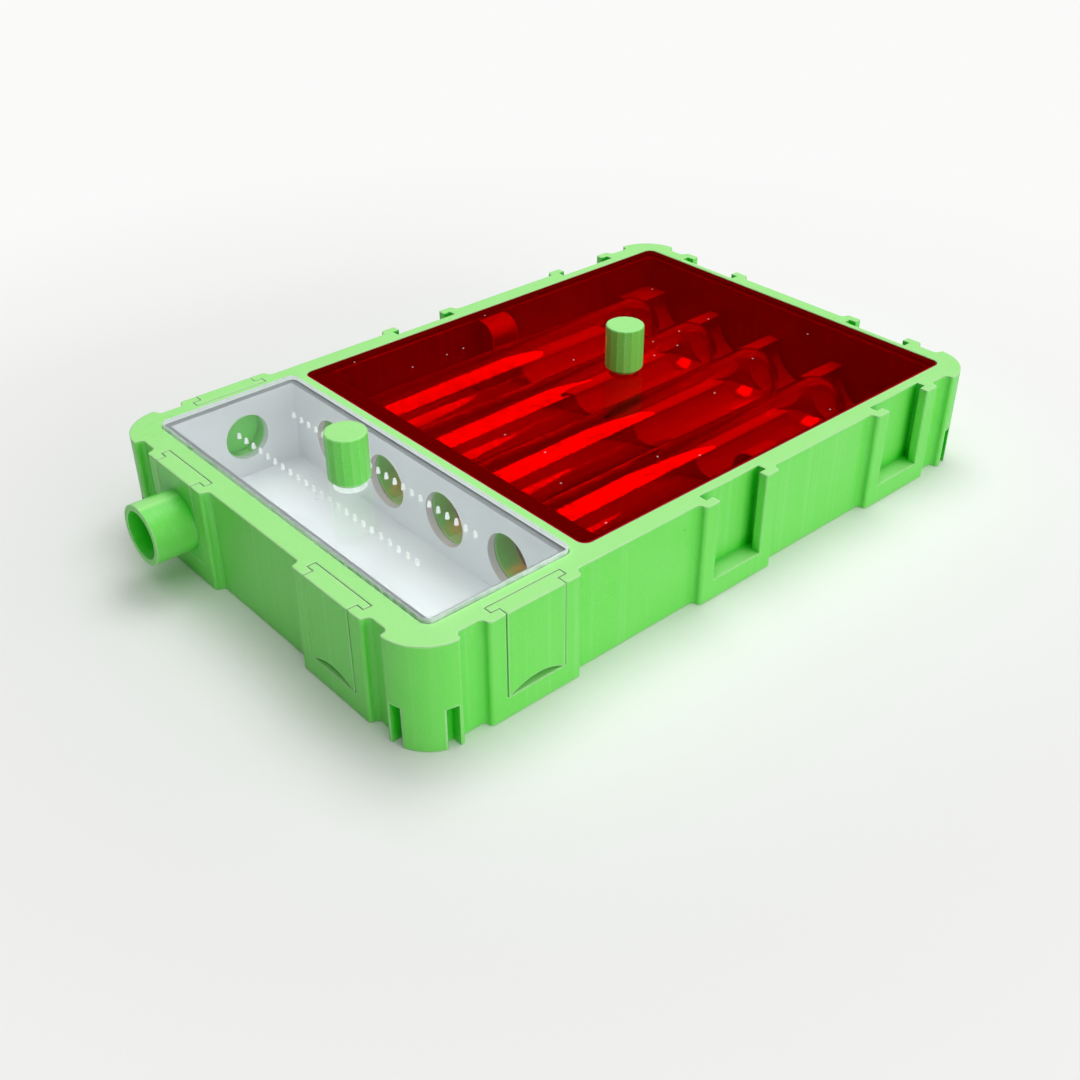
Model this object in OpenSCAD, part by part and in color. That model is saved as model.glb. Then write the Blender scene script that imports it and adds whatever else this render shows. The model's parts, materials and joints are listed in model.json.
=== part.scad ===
// Ant habitat: a shallow printed case with a foraging tray under a clear cover,
// a nest chamber with four glass test tubes under a red cover, and ten side ports.
// Lengths are in millimetres. The case stands on z = 0, its footprint is centred on
// the origin, the tray and its ports are at the front (-Y) and the nest at the back.

/* [Test tubes] */
// Outside diameter of a test tube
tube_od = 16; // [14:0.5:18]
// Length of a test tube, with its round end
tube_l = 100; // [80:1:150]
// Glass thickness of a test tube
tube_wall = 1.1; // [0.8:0.1:1.5]
// Free space between neighbouring tubes
tube_space = 5.4; // [3:0.1:12]
// Play between a tube and its socket or cradle
tube_gap = 0.3; // [0.2:0.05:0.6]
// Free length behind the tubes, in which a tube slides back out of its socket
slide_room = 15.2; // [13:0.1:30]

/* [Nest chamber] */
// Thickness of the floor under the tubes
nest_floor_t = 3; // [1.5:0.1:6]
// Space between an outer tube and the side wall
side_space = 7.9; // [5:0.1:20]
// Space between the top of the tubes and the red cover
headroom = 1.7; // [0.5:0.1:6]
// Thickness of the wall between the tray and the nest, below the covers
divider_t = 8.3; // [6:0.1:14]
// Depth of the sockets that hold the tube mouths
socket_d = 3; // [1.5:0.1:5]
// Diameter of the passages from the tray into the tubes
passage_d = 13; // [8:0.1:13.5]
// Rounding of the upright inner corners
chamber_r = 2; // [1:0.1:6]

/* [Tube cradle and rests] */
// Length of the cradle along the tubes
cradle_l = 33; // [15:0.5:45]
// Floor left under each cradle trough, above the nest floor
cradle_web = 1; // [0.5:0.1:3]
// Depth of the cradle's ridges below the tube axis
cradle_drop = 3.3; // [1:0.1:5]
// Length of the two side rests in front of the cradle
rest_l = 8.5; // [4:0.5:14]
// Gap between an outer tube and a side rest
rest_space = 1.9; // [1:0.1:3]
// Gap between the side rests and the underside of the red cover
rest_gap = 0.5; // [0.3:0.1:2]
// Rounding of the upper inner edge of a side rest
rest_r = 4.5; // [1:0.1:5]
// Length of the rear rest, which stands against the back wall
rear_l = 12.4; // [6:0.1:13]
// Height of the rear rest's ridges above the tube axis
rear_rise = 0.7; // [0:0.1:3]
// Play between a tube that is slid back and the rear troughs
rear_play = 1; // [0.5:0.1:1.6]

/* [Case] */
// Rim beside the covers, from the outer face to the cover
side_rim = 6.8; // [6:0.1:12]
// Rim in front of the clear cover
front_rim = 7.8; // [6:0.1:12]
// Rim behind the red cover
back_rim = 5.8; // [5:0.1:12]
// Bar between the two covers
bar_w = 2.6; // [1.5:0.1:5]
// Ledge that carries the red cover
ledge_w = 2.2; // [1:0.1:4]
// Thickness of the base under the tray
base_t = 2; // [1:0.1:5]
// Radius of the round corner posts
post_r = 10.6; // [8:0.1:14]
// Depth of the recessed panels and grooves between posts and ports
recess_d = 2; // [1.4:0.1:2.5]
// Fillet in the inner corners of the recesses
recess_r = 1.2; // [0.4:0.1:1.4]
// Rounding of the upright edges beside the recesses
edge_r = 0.8; // [0.2:0.1:1]
// Width of the grooves between the posts and the ports of the front and back
end_groove = 5.8; // [4:0.1:8]
// Width of the grooves between the posts and the ports of the long sides
side_groove = 6.3; // [4:0.1:8]

/* [Base notches of the corner posts] */
// Width of a notch
notch_w = 2.6; // [1:0.1:4]
// Distance of a notch from the end of its post
notch_set = 1.2; // [0.6:0.1:3]
// Height of a notch above the base
notch_h = 9.8; // [4:0.1:16]
// Depth of a notch from the outer face
notch_d = 2.5; // [1:0.1:4]

/* [Ports] */
// Width of the raised frame round a port
frame_w = 23.2; // [21:0.1:28]
// Thickness of the frame's lips in front of the slot
lip_t = 2.2; // [1.2:0.1:3]
// Rounding of the lips' upright edges
lip_r = 0.4; // [0.2:0.05:0.8]
// Height of the sill that a port plate stands on
port_sill = 5.1; // [3:0.1:6]
// Height of the port's centre above the base
port_z = 13.2; // [12:0.1:15]
// Diameter of the passage through a port
port_bore = 11.4; // [6:0.1:12]
// Width of a port plate between the lips
plate_neck_w = 14.4; // [13:0.1:16]
// Width of a port plate behind the lips
plate_flange_w = 18.4; // [16:0.1:20]
// Thickness of a port plate behind the lips
plate_flange_t = 1.7; // [1:0.1:2.2]
// Play of a port plate in its slot
slide_gap = 0.2; // [0.1:0.05:0.4]
// Width of the arch in the lower edge of a blank plate
arch_w = 13.4; // [8:0.1:14]
// Height of the arch in the lower edge of a blank plate
arch_h = 2; // [1:0.1:3]
// Outside diameter of the tube connector
spigot_od = 14.2; // [12.4:0.1:14.4]
// Length of the tube connector in front of its plate
spigot_l = 9.7; // [6:0.1:20]

/* [Covers and tray] */
// Thickness of both covers
cover_t = 3; // [2:0.1:5]
// Length of the clear cover
clear_l = 36; // [34:0.5:60]
// Height of the clear cover above the case
clear_proud = 1; // [0:0.1:2]
// Corner radius of the covers
cover_r = 2.1; // [1.6:0.1:8]
// Play round a cover in its pocket
cover_gap = 0.2; // [0.1:0.05:0.4]
// Wall thickness of the foraging tray
tray_wall = 1.8; // [1:0.1:2.5]
// Floor thickness of the foraging tray
tray_floor = 1; // [0.6:0.1:3]
// Play round the foraging tray
tray_gap = 0.3; // [0.1:0.05:0.5]
// Rounding of the tray's upright inner corners
tray_inner_r = 0.6; // [0.3:0.1:3]
// Diameter of a vent hole
vent_d = 1; // [0.5:0.1:1.5]
// Distance between neighbouring vent holes
vent_pitch = 3; // [2:0.1:4]
// Number of vent holes in a row
vent_count = 23; // [5:2:25]
// Distance of each vent row from the middle of the clear cover
vent_row = 7.2; // [6:0.1:12]

/* [Cover plugs] */
// Diameter of a plug's head
plug_d = 9.3; // [7:0.1:12]
// Height of a plug's head
plug_h = 11.7; // [5:0.1:20]
// Chamfer under a plug's head
plug_chamfer = 1; // [0.2:0.1:1.4]
// Diameter of a plug's stem
stem_d = 6.3; // [4:0.1:6.6]
// Play round a plug's stem in its cover
stem_gap = 0.3; // [0.15:0.05:0.5]

/* [Hidden] */
$fn = 96;

// Colours of the printed parts, the tray, the covers and the glass
print_green = [0.48, 0.90, 0.42];
tray_white = [0.93, 0.93, 0.95];
clear_tint = [0.80, 0.90, 0.88, 0.35];
red_tint = [0.75, 0.02, 0.04, 0.6];
glass_tint = [0.85, 0.92, 0.95, 0.35];

// Length by which a cutting solid stands past the face that it cuts
over = 1;

// Tubes: four in a row, lying along Y with their mouths to the front
tube_count = 4;
tube_r = tube_od / 2;
tube_pitch = tube_od + tube_space;
tube_z = nest_floor_t + cradle_web + tube_gap + tube_r;
socket_r = tube_r + tube_gap;

// Heights above the base
ledge_z = tube_z + tube_r + headroom;
case_h = ledge_z + cover_t;
tray_rim_z = case_h + clear_proud - cover_t;

// Widths, from the tubes outwards
chamber_w = (tube_count - 1) * tube_pitch + tube_od + 2 * side_space;
pocket_w = chamber_w + 2 * ledge_w;
cover_w = pocket_w - 2 * cover_gap;
case_w = pocket_w + 2 * side_rim;

// Lengths, from the front to the back
clear_pocket_l = clear_l + 2 * cover_gap;
nest_l = tube_gap + tube_l - socket_d + slide_room;
red_pocket_l = divider_t - bar_w + nest_l + ledge_w;
red_l = red_pocket_l - 2 * cover_gap;
case_l = front_rim + clear_pocket_l + bar_w + red_pocket_l + back_rim;

// Places along Y
clear_y0 = front_rim - case_l / 2;
clear_y1 = clear_y0 + clear_pocket_l;
clear_mid = (clear_y0 + clear_y1) / 2;
red_y0 = clear_y1 + bar_w;
red_y1 = red_y0 + red_pocket_l;
red_mid = (red_y0 + red_y1) / 2;
nest_y0 = clear_y1 + divider_t;
nest_y1 = nest_y0 + nest_l;
mouth_y = nest_y0 - socket_d + tube_gap;
tip_y = mouth_y + tube_l;
cradle_y1 = tip_y - tube_r;
cradle_y0 = cradle_y1 - cradle_l;

// Corner radii of the pockets and of the tray
pocket_r = cover_r + cover_gap;
tray_r = pocket_r - tray_gap;

// Side rests: what the outer tubes leave free beside them
outer_tube_x = (tube_count - 1) * tube_pitch / 2 + tube_r;
rest_w = chamber_w / 2 - outer_tube_x - rest_space;
rest_h = ledge_z - rest_gap;

// Port places, each as [angle of its outward side, x, y]
slot_depth = lip_t + plate_flange_t + 2 * slide_gap;
plate_t = lip_t + plate_flange_t + slide_gap;
plate_h = case_h - port_sill;
end_port_x = case_w / 2 - post_r - end_groove - frame_w / 2;
side_port_y = case_l / 2 - post_r - side_groove - frame_w / 2;
port_connector = [180, -end_port_x, -case_l / 2];
port_front = [180, end_port_x, -case_l / 2];
port_right = [-90, case_w / 2, -side_port_y];
port_left = [90, -case_w / 2, -side_port_y];
tray_ports = [port_connector, port_front, port_right, port_left];
nest_ports = [[-90, case_w / 2, 0], [-90, case_w / 2, side_port_y],
              [90, -case_w / 2, 0], [90, -case_w / 2, side_port_y],
              [0, -end_port_x, case_l / 2], [0, end_port_x, case_l / 2]];
port_reach = max(front_rim, side_rim) + tray_gap + tray_wall + over;
arch_r = (arch_w * arch_w / 4 + arch_h * arch_h) / (2 * arch_h);

// Recesses of the outer faces, each as [angle, x, y, width]
end_groove_x = case_w / 2 - post_r - end_groove / 2;
side_groove_y = case_l / 2 - post_r - side_groove / 2;
end_panel_w = 2 * end_port_x - frame_w;
side_panel_w = side_port_y - frame_w;
recesses = [for (s = [-1, 1], e = [-1, 1]) each [
              [e > 0 ? 0 : 180, s * end_groove_x, e * case_l / 2, end_groove],
              [-90 * e, e * case_w / 2, s * side_groove_y, side_groove],
              [-90 * e, e * case_w / 2, s * side_port_y / 2, side_panel_w]]];
end_panels = [[0, 0, case_l / 2, end_panel_w], [180, 0, -case_l / 2, end_panel_w]];

// Puts a shape at a place of the outer face, with its +Y side outwards
module at_face(place) {
    translate([place[1], place[2], 0])
        rotate(place[0])
            children();
}

// Rectangle with round corners
module rounded_plan(w, l, r) {
    square([w - 2 * r, l], center = true);
    square([w, l - 2 * r], center = true);
    for (sx = [-1, 1], sy = [-1, 1])
        translate([sx * (w / 2 - r), sy * (l / 2 - r)])
            circle(r);
}

// Upright block with round corners, from z0 to z1
module rounded_block(w, l, r, z0, z1) {
    translate([0, 0, z0])
        linear_extrude(z1 - z0)
            rounded_plan(w, l, r);
}

// Rounding of one upright edge, at the place where the face meets the cut
module edge_flare(r) {
    difference() {
        translate([0, -r])
            square([r, r + over]);
        translate([r, -r])
            circle(r);
    }
}

// Roundings of both upright edges of a cut with this width
module edge_flares(w, r) {
    for (m = [0, 1])
        mirror([m, 0])
            translate([w / 2, 0])
                edge_flare(r);
}

// Plan of a recess in an outer face: round inner corners and flared outer edges
module recess_plan(w) {
    translate([-w / 2 + recess_r, -recess_d])
        square([w - 2 * recess_r, recess_d + over]);
    translate([-w / 2, recess_r - recess_d])
        square([w, recess_d - recess_r + over]);
    for (s = [-1, 1])
        translate([s * (w / 2 - recess_r), recess_r - recess_d])
            circle(recess_r);
    edge_flares(w, edge_r);
}

// Slot of a port: an opening between two lips and a wider channel behind them
module slot_cut() {
    neck_w = plate_neck_w + 2 * slide_gap;
    channel_w = plate_flange_w + 2 * slide_gap;
    translate([0, 0, port_sill])
        linear_extrude(plate_h + over) {
            translate([-neck_w / 2, -slot_depth])
                square([neck_w, slot_depth + over]);
            translate([-channel_w / 2, -slot_depth])
                square([channel_w, slot_depth - lip_t]);
            edge_flares(neck_w, lip_r);
        }
}

// Round passage from a port slot into the foraging tray
module port_passage() {
    translate([0, -port_reach, port_z])
        rotate([-90, 0, 0])
            cylinder(h = port_reach - slot_depth + over, d = port_bore);
}

// Two notches in the base of a corner post, one in each outer face
module post_notches() {
    x = case_w / 2;
    y = case_l / 2;
    along = post_r - notch_set - notch_w;
    translate([x - notch_d, y - along - notch_w, -over])
        cube([notch_d + over, notch_w, notch_h + over]);
    translate([x - along - notch_w, y - notch_d, -over])
        cube([notch_w, notch_d + over, notch_h + over]);
}

// Round bars along Y on the four tube axes
module tube_bars(r, y0, y1) {
    for (i = [0 : tube_count - 1])
        translate([(i - (tube_count - 1) / 2) * tube_pitch, y0, tube_z])
            rotate([-90, 0, 0])
                cylinder(h = y1 - y0, r = r);
}

// Cradle in the middle of the nest, with one trough for each tube
module cradle() {
    difference() {
        translate([-chamber_w / 2, cradle_y0, 0])
            cube([chamber_w, cradle_l, tube_z - cradle_drop]);
        tube_bars(socket_r, cradle_y0 - over, cradle_y1 + over);
    }
}

// Rear rest against the back wall, with wider troughs than the cradle's
module rear_rest() {
    difference() {
        translate([-chamber_w / 2, nest_y1 - rear_l, 0])
            cube([chamber_w, rear_l, tube_z + rear_rise]);
        tube_bars(tube_r + rear_play, nest_y1 - rear_l - over, nest_y1 + over);
    }
}

// Side rest in front of the cradle, against the right wall
module side_rest() {
    inner_x = chamber_w / 2 - rest_w;
    r = min(rest_r, rest_w);
    translate([inner_x, cradle_y0 - rest_l, 0])
        cube([rest_w, rest_l, rest_h - r]);
    translate([inner_x + r, cradle_y0 - rest_l, rest_h - r])
        rotate([-90, 0, 0])
            cylinder(h = rest_l, r = r);
    translate([inner_x + r, cradle_y0 - rest_l, rest_h - 2 * r])
        cube([rest_w - r, rest_l, 2 * r]);
}

// Printed case with its pockets, chamber, ports and tube supports
module case_body() {
    color(print_green) {
        difference() {
            rounded_block(case_w, case_l, post_r, 0, case_h);
            translate([0, clear_mid, 0])
                rounded_block(pocket_w, clear_pocket_l, pocket_r, base_t, case_h + over);
            translate([0, red_mid, 0])
                rounded_block(pocket_w, red_pocket_l, pocket_r, ledge_z, case_h + over);
            translate([0, (nest_y0 + nest_y1) / 2, 0])
                rounded_block(chamber_w, nest_l, chamber_r, nest_floor_t, case_h + over);
            tube_bars(passage_d / 2, clear_y1 - over, nest_y0 + over);
            tube_bars(socket_r, nest_y0 - socket_d, nest_y0 + over);
            for (p = concat(tray_ports, nest_ports))
                at_face(p)
                    slot_cut();
            for (p = tray_ports)
                at_face(p)
                    port_passage();
            for (p = concat(recesses, end_panels))
                at_face(p)
                    translate([0, 0, -over])
                        linear_extrude(case_h + 2 * over)
                            recess_plan(p[3]);
            for (mx = [0, 1], my = [0, 1])
                mirror([mx, 0, 0])
                    mirror([0, my, 0])
                        post_notches();
        }
        cradle();
        rear_rest();
        side_rest();
        mirror([1, 0, 0])
            side_rest();
    }
}

// White foraging tray that fills the front pocket
module foraging_tray() {
    w = pocket_w - 2 * tray_gap;
    l = clear_pocket_l - 2 * tray_gap;
    color(tray_white)
        difference() {
            translate([0, clear_mid, 0])
                rounded_block(w, l, tray_r, base_t, tray_rim_z);
            translate([0, clear_mid, 0])
                rounded_block(w - 2 * tray_wall, l - 2 * tray_wall, tray_inner_r,
                              base_t + tray_floor, tray_rim_z + over);
            tube_bars(passage_d / 2, clear_y1 - tray_gap - tray_wall - over, clear_y1);
            for (p = tray_ports)
                at_face(p)
                    port_passage();
        }
}

// Flat cover with a round hole for a plug in its middle
module cover_plate(l, z0) {
    difference() {
        rounded_block(cover_w, l, cover_r, z0, z0 + cover_t);
        translate([0, 0, z0 - over])
            cylinder(h = cover_t + 2 * over, r = stem_d / 2 + stem_gap);
    }
}

// Clear cover of the tray, with two rows of vent holes
module clear_cover() {
    color(clear_tint)
        translate([0, clear_mid, 0])
            difference() {
                cover_plate(clear_l, tray_rim_z);
                for (i = [0 : vent_count - 1], s = [-1, 1])
                    translate([(i - (vent_count - 1) / 2) * vent_pitch, s * vent_row,
                               tray_rim_z - over])
                        cylinder(h = cover_t + 2 * over, d = vent_d);
            }
}

// Red cover of the nest
module red_cover() {
    color(red_tint)
        translate([0, red_mid, 0])
            cover_plate(red_l, ledge_z);
}

// Plug: a stem in the cover's hole and a head that stands on the cover
module plug(z0) {
    color(print_green) {
        translate([0, 0, z0])
            cylinder(h = cover_t + over, d = stem_d);
        translate([0, 0, z0 + cover_t])
            cylinder(h = plug_chamfer, d1 = plug_d - 2 * plug_chamfer, d2 = plug_d);
        translate([0, 0, z0 + cover_t + plug_chamfer])
            cylinder(h = plug_h - plug_chamfer, d = plug_d);
    }
}

// Plug of the clear cover
module clear_cover_plug() {
    translate([0, clear_mid, 0])
        plug(tray_rim_z);
}

// Plug of the red cover
module red_cover_plug() {
    translate([0, red_mid, 0])
        plug(ledge_z);
}

// Round bar with a half-round far end, the solid form of a tube
module round_ended_bar(r, l) {
    rotate([-90, 0, 0])
        cylinder(h = l - r, r = r);
    translate([0, l - r, 0])
        sphere(r);
}

// Glass test tube, open to the front, on the tube axis with this number
module test_tube(i) {
    color(glass_tint)
        translate([(i - (tube_count + 1) / 2) * tube_pitch, mouth_y, tube_z])
            difference() {
                round_ended_bar(tube_r, tube_l);
                round_ended_bar(tube_r - tube_wall, tube_l - tube_wall);
                rotate([90, 0, 0])
                    cylinder(h = over, r = tube_r - tube_wall);
            }
}

// Test tubes from left to right
module test_tube_1() {
    test_tube(1);
}

module test_tube_2() {
    test_tube(2);
}

module test_tube_3() {
    test_tube(3);
}

module test_tube_4() {
    test_tube(4);
}

// Port plate that slides down between the lips
module port_plate() {
    translate([0, 0, port_sill])
        linear_extrude(plate_h) {
            translate([-plate_neck_w / 2, -plate_t])
                square([plate_neck_w, plate_t]);
            translate([-plate_flange_w / 2, -plate_t])
                square([plate_flange_w, plate_flange_t]);
        }
}

// Blank port plate with an arch in its lower edge
module blank_plate() {
    difference() {
        port_plate();
        translate([0, over, port_sill + arch_h - arch_r])
            rotate([90, 0, 0])
                cylinder(h = plate_t + 2 * over, r = arch_r);
    }
}

// Port plate with the tube connector
module connector_plate() {
    color(print_green)
        at_face(port_connector)
            difference() {
                union() {
                    port_plate();
                    translate([0, 0, port_z])
                        rotate([-90, 0, 0])
                            cylinder(h = spigot_l, d = spigot_od);
                }
                translate([0, -plate_t - over, port_z])
                    rotate([-90, 0, 0])
                        cylinder(h = plate_t + spigot_l + 2 * over, d = port_bore);
            }
}

// Blank plate of the second front port
module blank_plate_front() {
    color(print_green)
        at_face(port_front)
            blank_plate();
}

// Blank plate of the right port beside the tray
module blank_plate_right() {
    color(print_green)
        at_face(port_right)
            blank_plate();
}

// Blank plate of the left port beside the tray
module blank_plate_left() {
    color(print_green)
        at_face(port_left)
            blank_plate();
}

case_body();
foraging_tray();
clear_cover();
clear_cover_plug();
red_cover();
red_cover_plug();
test_tube_1();
test_tube_2();
test_tube_3();
test_tube_4();
connector_plate();
blank_plate_front();
blank_plate_right();
blank_plate_left();
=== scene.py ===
import json
import math

import bmesh
import bpy
from mathutils import Matrix, Vector

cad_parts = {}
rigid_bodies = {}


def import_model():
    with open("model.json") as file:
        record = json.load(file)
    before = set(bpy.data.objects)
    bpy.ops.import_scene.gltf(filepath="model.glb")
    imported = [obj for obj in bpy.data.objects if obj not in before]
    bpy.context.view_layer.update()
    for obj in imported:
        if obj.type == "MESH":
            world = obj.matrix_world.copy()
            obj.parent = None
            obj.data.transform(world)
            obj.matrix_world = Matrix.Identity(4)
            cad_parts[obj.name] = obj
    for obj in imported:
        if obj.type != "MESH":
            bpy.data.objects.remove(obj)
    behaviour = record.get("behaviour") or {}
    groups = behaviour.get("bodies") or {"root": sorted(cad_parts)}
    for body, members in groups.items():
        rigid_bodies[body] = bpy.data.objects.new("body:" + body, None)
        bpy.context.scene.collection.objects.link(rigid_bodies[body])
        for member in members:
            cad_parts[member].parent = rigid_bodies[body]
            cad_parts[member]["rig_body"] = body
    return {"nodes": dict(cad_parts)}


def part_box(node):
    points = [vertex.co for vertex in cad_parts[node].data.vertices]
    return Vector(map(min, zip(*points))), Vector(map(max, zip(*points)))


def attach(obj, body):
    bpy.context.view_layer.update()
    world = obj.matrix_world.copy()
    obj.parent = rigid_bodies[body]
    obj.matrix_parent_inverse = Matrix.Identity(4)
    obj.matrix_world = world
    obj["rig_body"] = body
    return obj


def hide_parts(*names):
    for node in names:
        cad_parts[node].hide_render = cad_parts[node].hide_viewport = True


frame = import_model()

bl_info = {
    "name": "Ant habitat",
    "version": (1, 0, 0),
    "blender": (4, 5, 0),
    "location": "3D View > Sidebar > Habitat",
    "description": "Finishes of a printed ant habitat with test tubes, and the studio it stands in",
    "category": "Object",
}

MM = 0.001
WHITE = (1.0, 1.0, 1.0, 1.0)

PLATE_NODES = ("connector_plate", "blank_plate_front", "blank_plate_right", "blank_plate_left")
TUBE_NODES = tuple(f"test_tube_{number}" for number in range(1, 5))


# ---------------------------------------------------------------- shader trees


class Wire:
    """An output socket whose arithmetic adds Math nodes to its tree."""

    def __init__(self, tree, socket):
        self.tree = tree
        self.socket = socket

    def math(self, operation, *values):
        return self.tree.maths(operation, self, *values)

    def __add__(self, other):
        return self.math("ADD", other)

    __radd__ = __add__

    def __sub__(self, other):
        return self.math("SUBTRACT", other)

    def __rsub__(self, other):
        return self.tree.maths("SUBTRACT", other, self)

    def __mul__(self, other):
        return self.math("MULTIPLY", other)

    __rmul__ = __mul__

    def __gt__(self, other):
        return self.math("GREATER_THAN", other)

    def __lt__(self, other):
        return self.math("LESS_THAN", other)

    def between(self, low, high):
        """0 at low, 1 at high, smooth between them."""
        return self.tree.wire(
            "ShaderNodeMapRange",
            {"interpolation_type": "SMOOTHSTEP"},
            {"Value": self, "From Min": low, "From Max": high},
        )


class Tree:
    """The emptied node tree of a material, a lamp or the world, with one way to add a node."""

    def __init__(self, owner):
        owner.use_nodes = True
        self.nodes = owner.node_tree.nodes
        self.links = owner.node_tree.links
        self.nodes.clear()

    def node(self, kind, settings=None, inputs=None):
        """Adds a node with its settings, and a value or a Wire for each input that is given."""
        made = self.nodes.new(kind)
        for name, value in (settings or {}).items():
            setattr(made, name, value)
        for name, value in (inputs or {}).items():
            if isinstance(value, Wire):
                self.links.new(value.socket, made.inputs[name])
            else:
                made.inputs[name].default_value = value
        return made

    def wire(self, kind, settings=None, inputs=None, output=0):
        """Adds a node and returns one of its outputs."""
        return Wire(self, self.node(kind, settings, inputs).outputs[output])

    def maths(self, operation, *values):
        return self.wire("ShaderNodeMath", {"operation": operation}, dict(enumerate(values)))

    def vectors(self, operation, *values, output=0):
        settings = {"operation": operation}
        return self.wire("ShaderNodeVectorMath", settings, dict(enumerate(values)), output)

    def noise(self, scale, detail=2.0, roughness=0.5, vector=None):
        inputs = {"Scale": scale, "Detail": detail, "Roughness": roughness}
        if vector is not None:
            inputs["Vector"] = vector
        return self.wire("ShaderNodeTexNoise", None, inputs)

    def place(self, stretch=(1.0, 1.0, 1.0)):
        """Coordinates of the piece itself, in metres, stretched along its axes."""
        return self.vectors("MULTIPLY", self.wire("ShaderNodeTexCoord", output="Object"), stretch)

    def part(self, vector, axis):
        """One number out of a vector or a colour."""
        return self.wire("ShaderNodeSeparateXYZ", None, {0: vector}, axis)

    def mix_colour(self, factor, first, second):
        made = self.node("ShaderNodeMix", {"data_type": "RGBA"}, {"Factor": factor})
        for name, value in (("A", first), ("B", second)):
            socket = next(s for s in made.inputs if s.name == name and s.type == "RGBA")
            if isinstance(value, Wire):
                self.links.new(value.socket, socket)
            else:
                socket.default_value = value
        return Wire(self, next(s for s in made.outputs if s.type == "RGBA"))

    def mix_surface(self, factor, first, second):
        return self.wire("ShaderNodeMixShader", None, {0: factor, 1: first, 2: second})

    def finish(self, surface, output="ShaderNodeOutputMaterial"):
        self.node(output, None, {"Surface": surface})


def new_material(name):
    """An empty material and its tree."""
    material = bpy.data.materials.new(name)
    return material, Tree(material)


def shade(value, factor):
    """A colour made lighter or darker, as four numbers."""
    return (*[channel * factor for channel in value[:3]], 1.0)


# ---------------------------------------------------------------- finishes

ACRYLIC_INDEX = 1.49
GLASS_INDEX = 1.47
# How many times more than plain glass the tubes mirror.
GLASS_SHINE = 2.2
# The patterns of the print, of the tray and of a sheet's cut side, in cells per metre.
STREAKS_PER_METRE = 700.0
GRAINS_PER_METRE = 2500.0
CLOUDS_PER_METRE = 60.0
TRAY_GRAINS_PER_METRE = 1800.0
TRAY_CLOUDS_PER_METRE = 45.0
SAW_MARKS_PER_METRE = 900.0
# How much of the print's pale colour its streaks and its clouds take on, and its edges, where the
# pale colour is a painted highlight.
STREAK_SHARE = 0.07
CLOUD_SHARE = 0.04
EDGE_HIGHLIGHT_SHARE = 0.85
POWDER = (0.6, 0.6, 0.6, 1.0)
# Dust on the sheets: cells per metre, a grain's radius in cells and how much a grain covers.
DUST_CELLS = 170.0
DUST_RADIUS = 0.035
DUST_COVER = 0.8


def within(tree, low, high):
    """1 inside the box between these corners, 0 outside it."""
    split = tree.node("ShaderNodeSeparateXYZ", None, {0: tree.place()})
    inside = 1.0
    for axis in range(3):
        along = Wire(tree, split.outputs[axis])
        inside = (along > low[axis]) * (along < high[axis]) * inside
    return inside


def nest_painted_light(tree, colours, facing_up, cradle):
    """Painted light inside the nest: a warmer, lighter floor, walls darkened as painted shade, and
    a pale cradle as a painted pool of light.
    """
    lying_painted_light = tree.mix_colour(within(tree, *cradle), colours.nest_floor_painted_light, colours.cradle_painted_light)
    return tree.mix_colour(facing_up.between(0.1, 0.6), colours.nest_wall_painted_shade, lying_painted_light)


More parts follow.
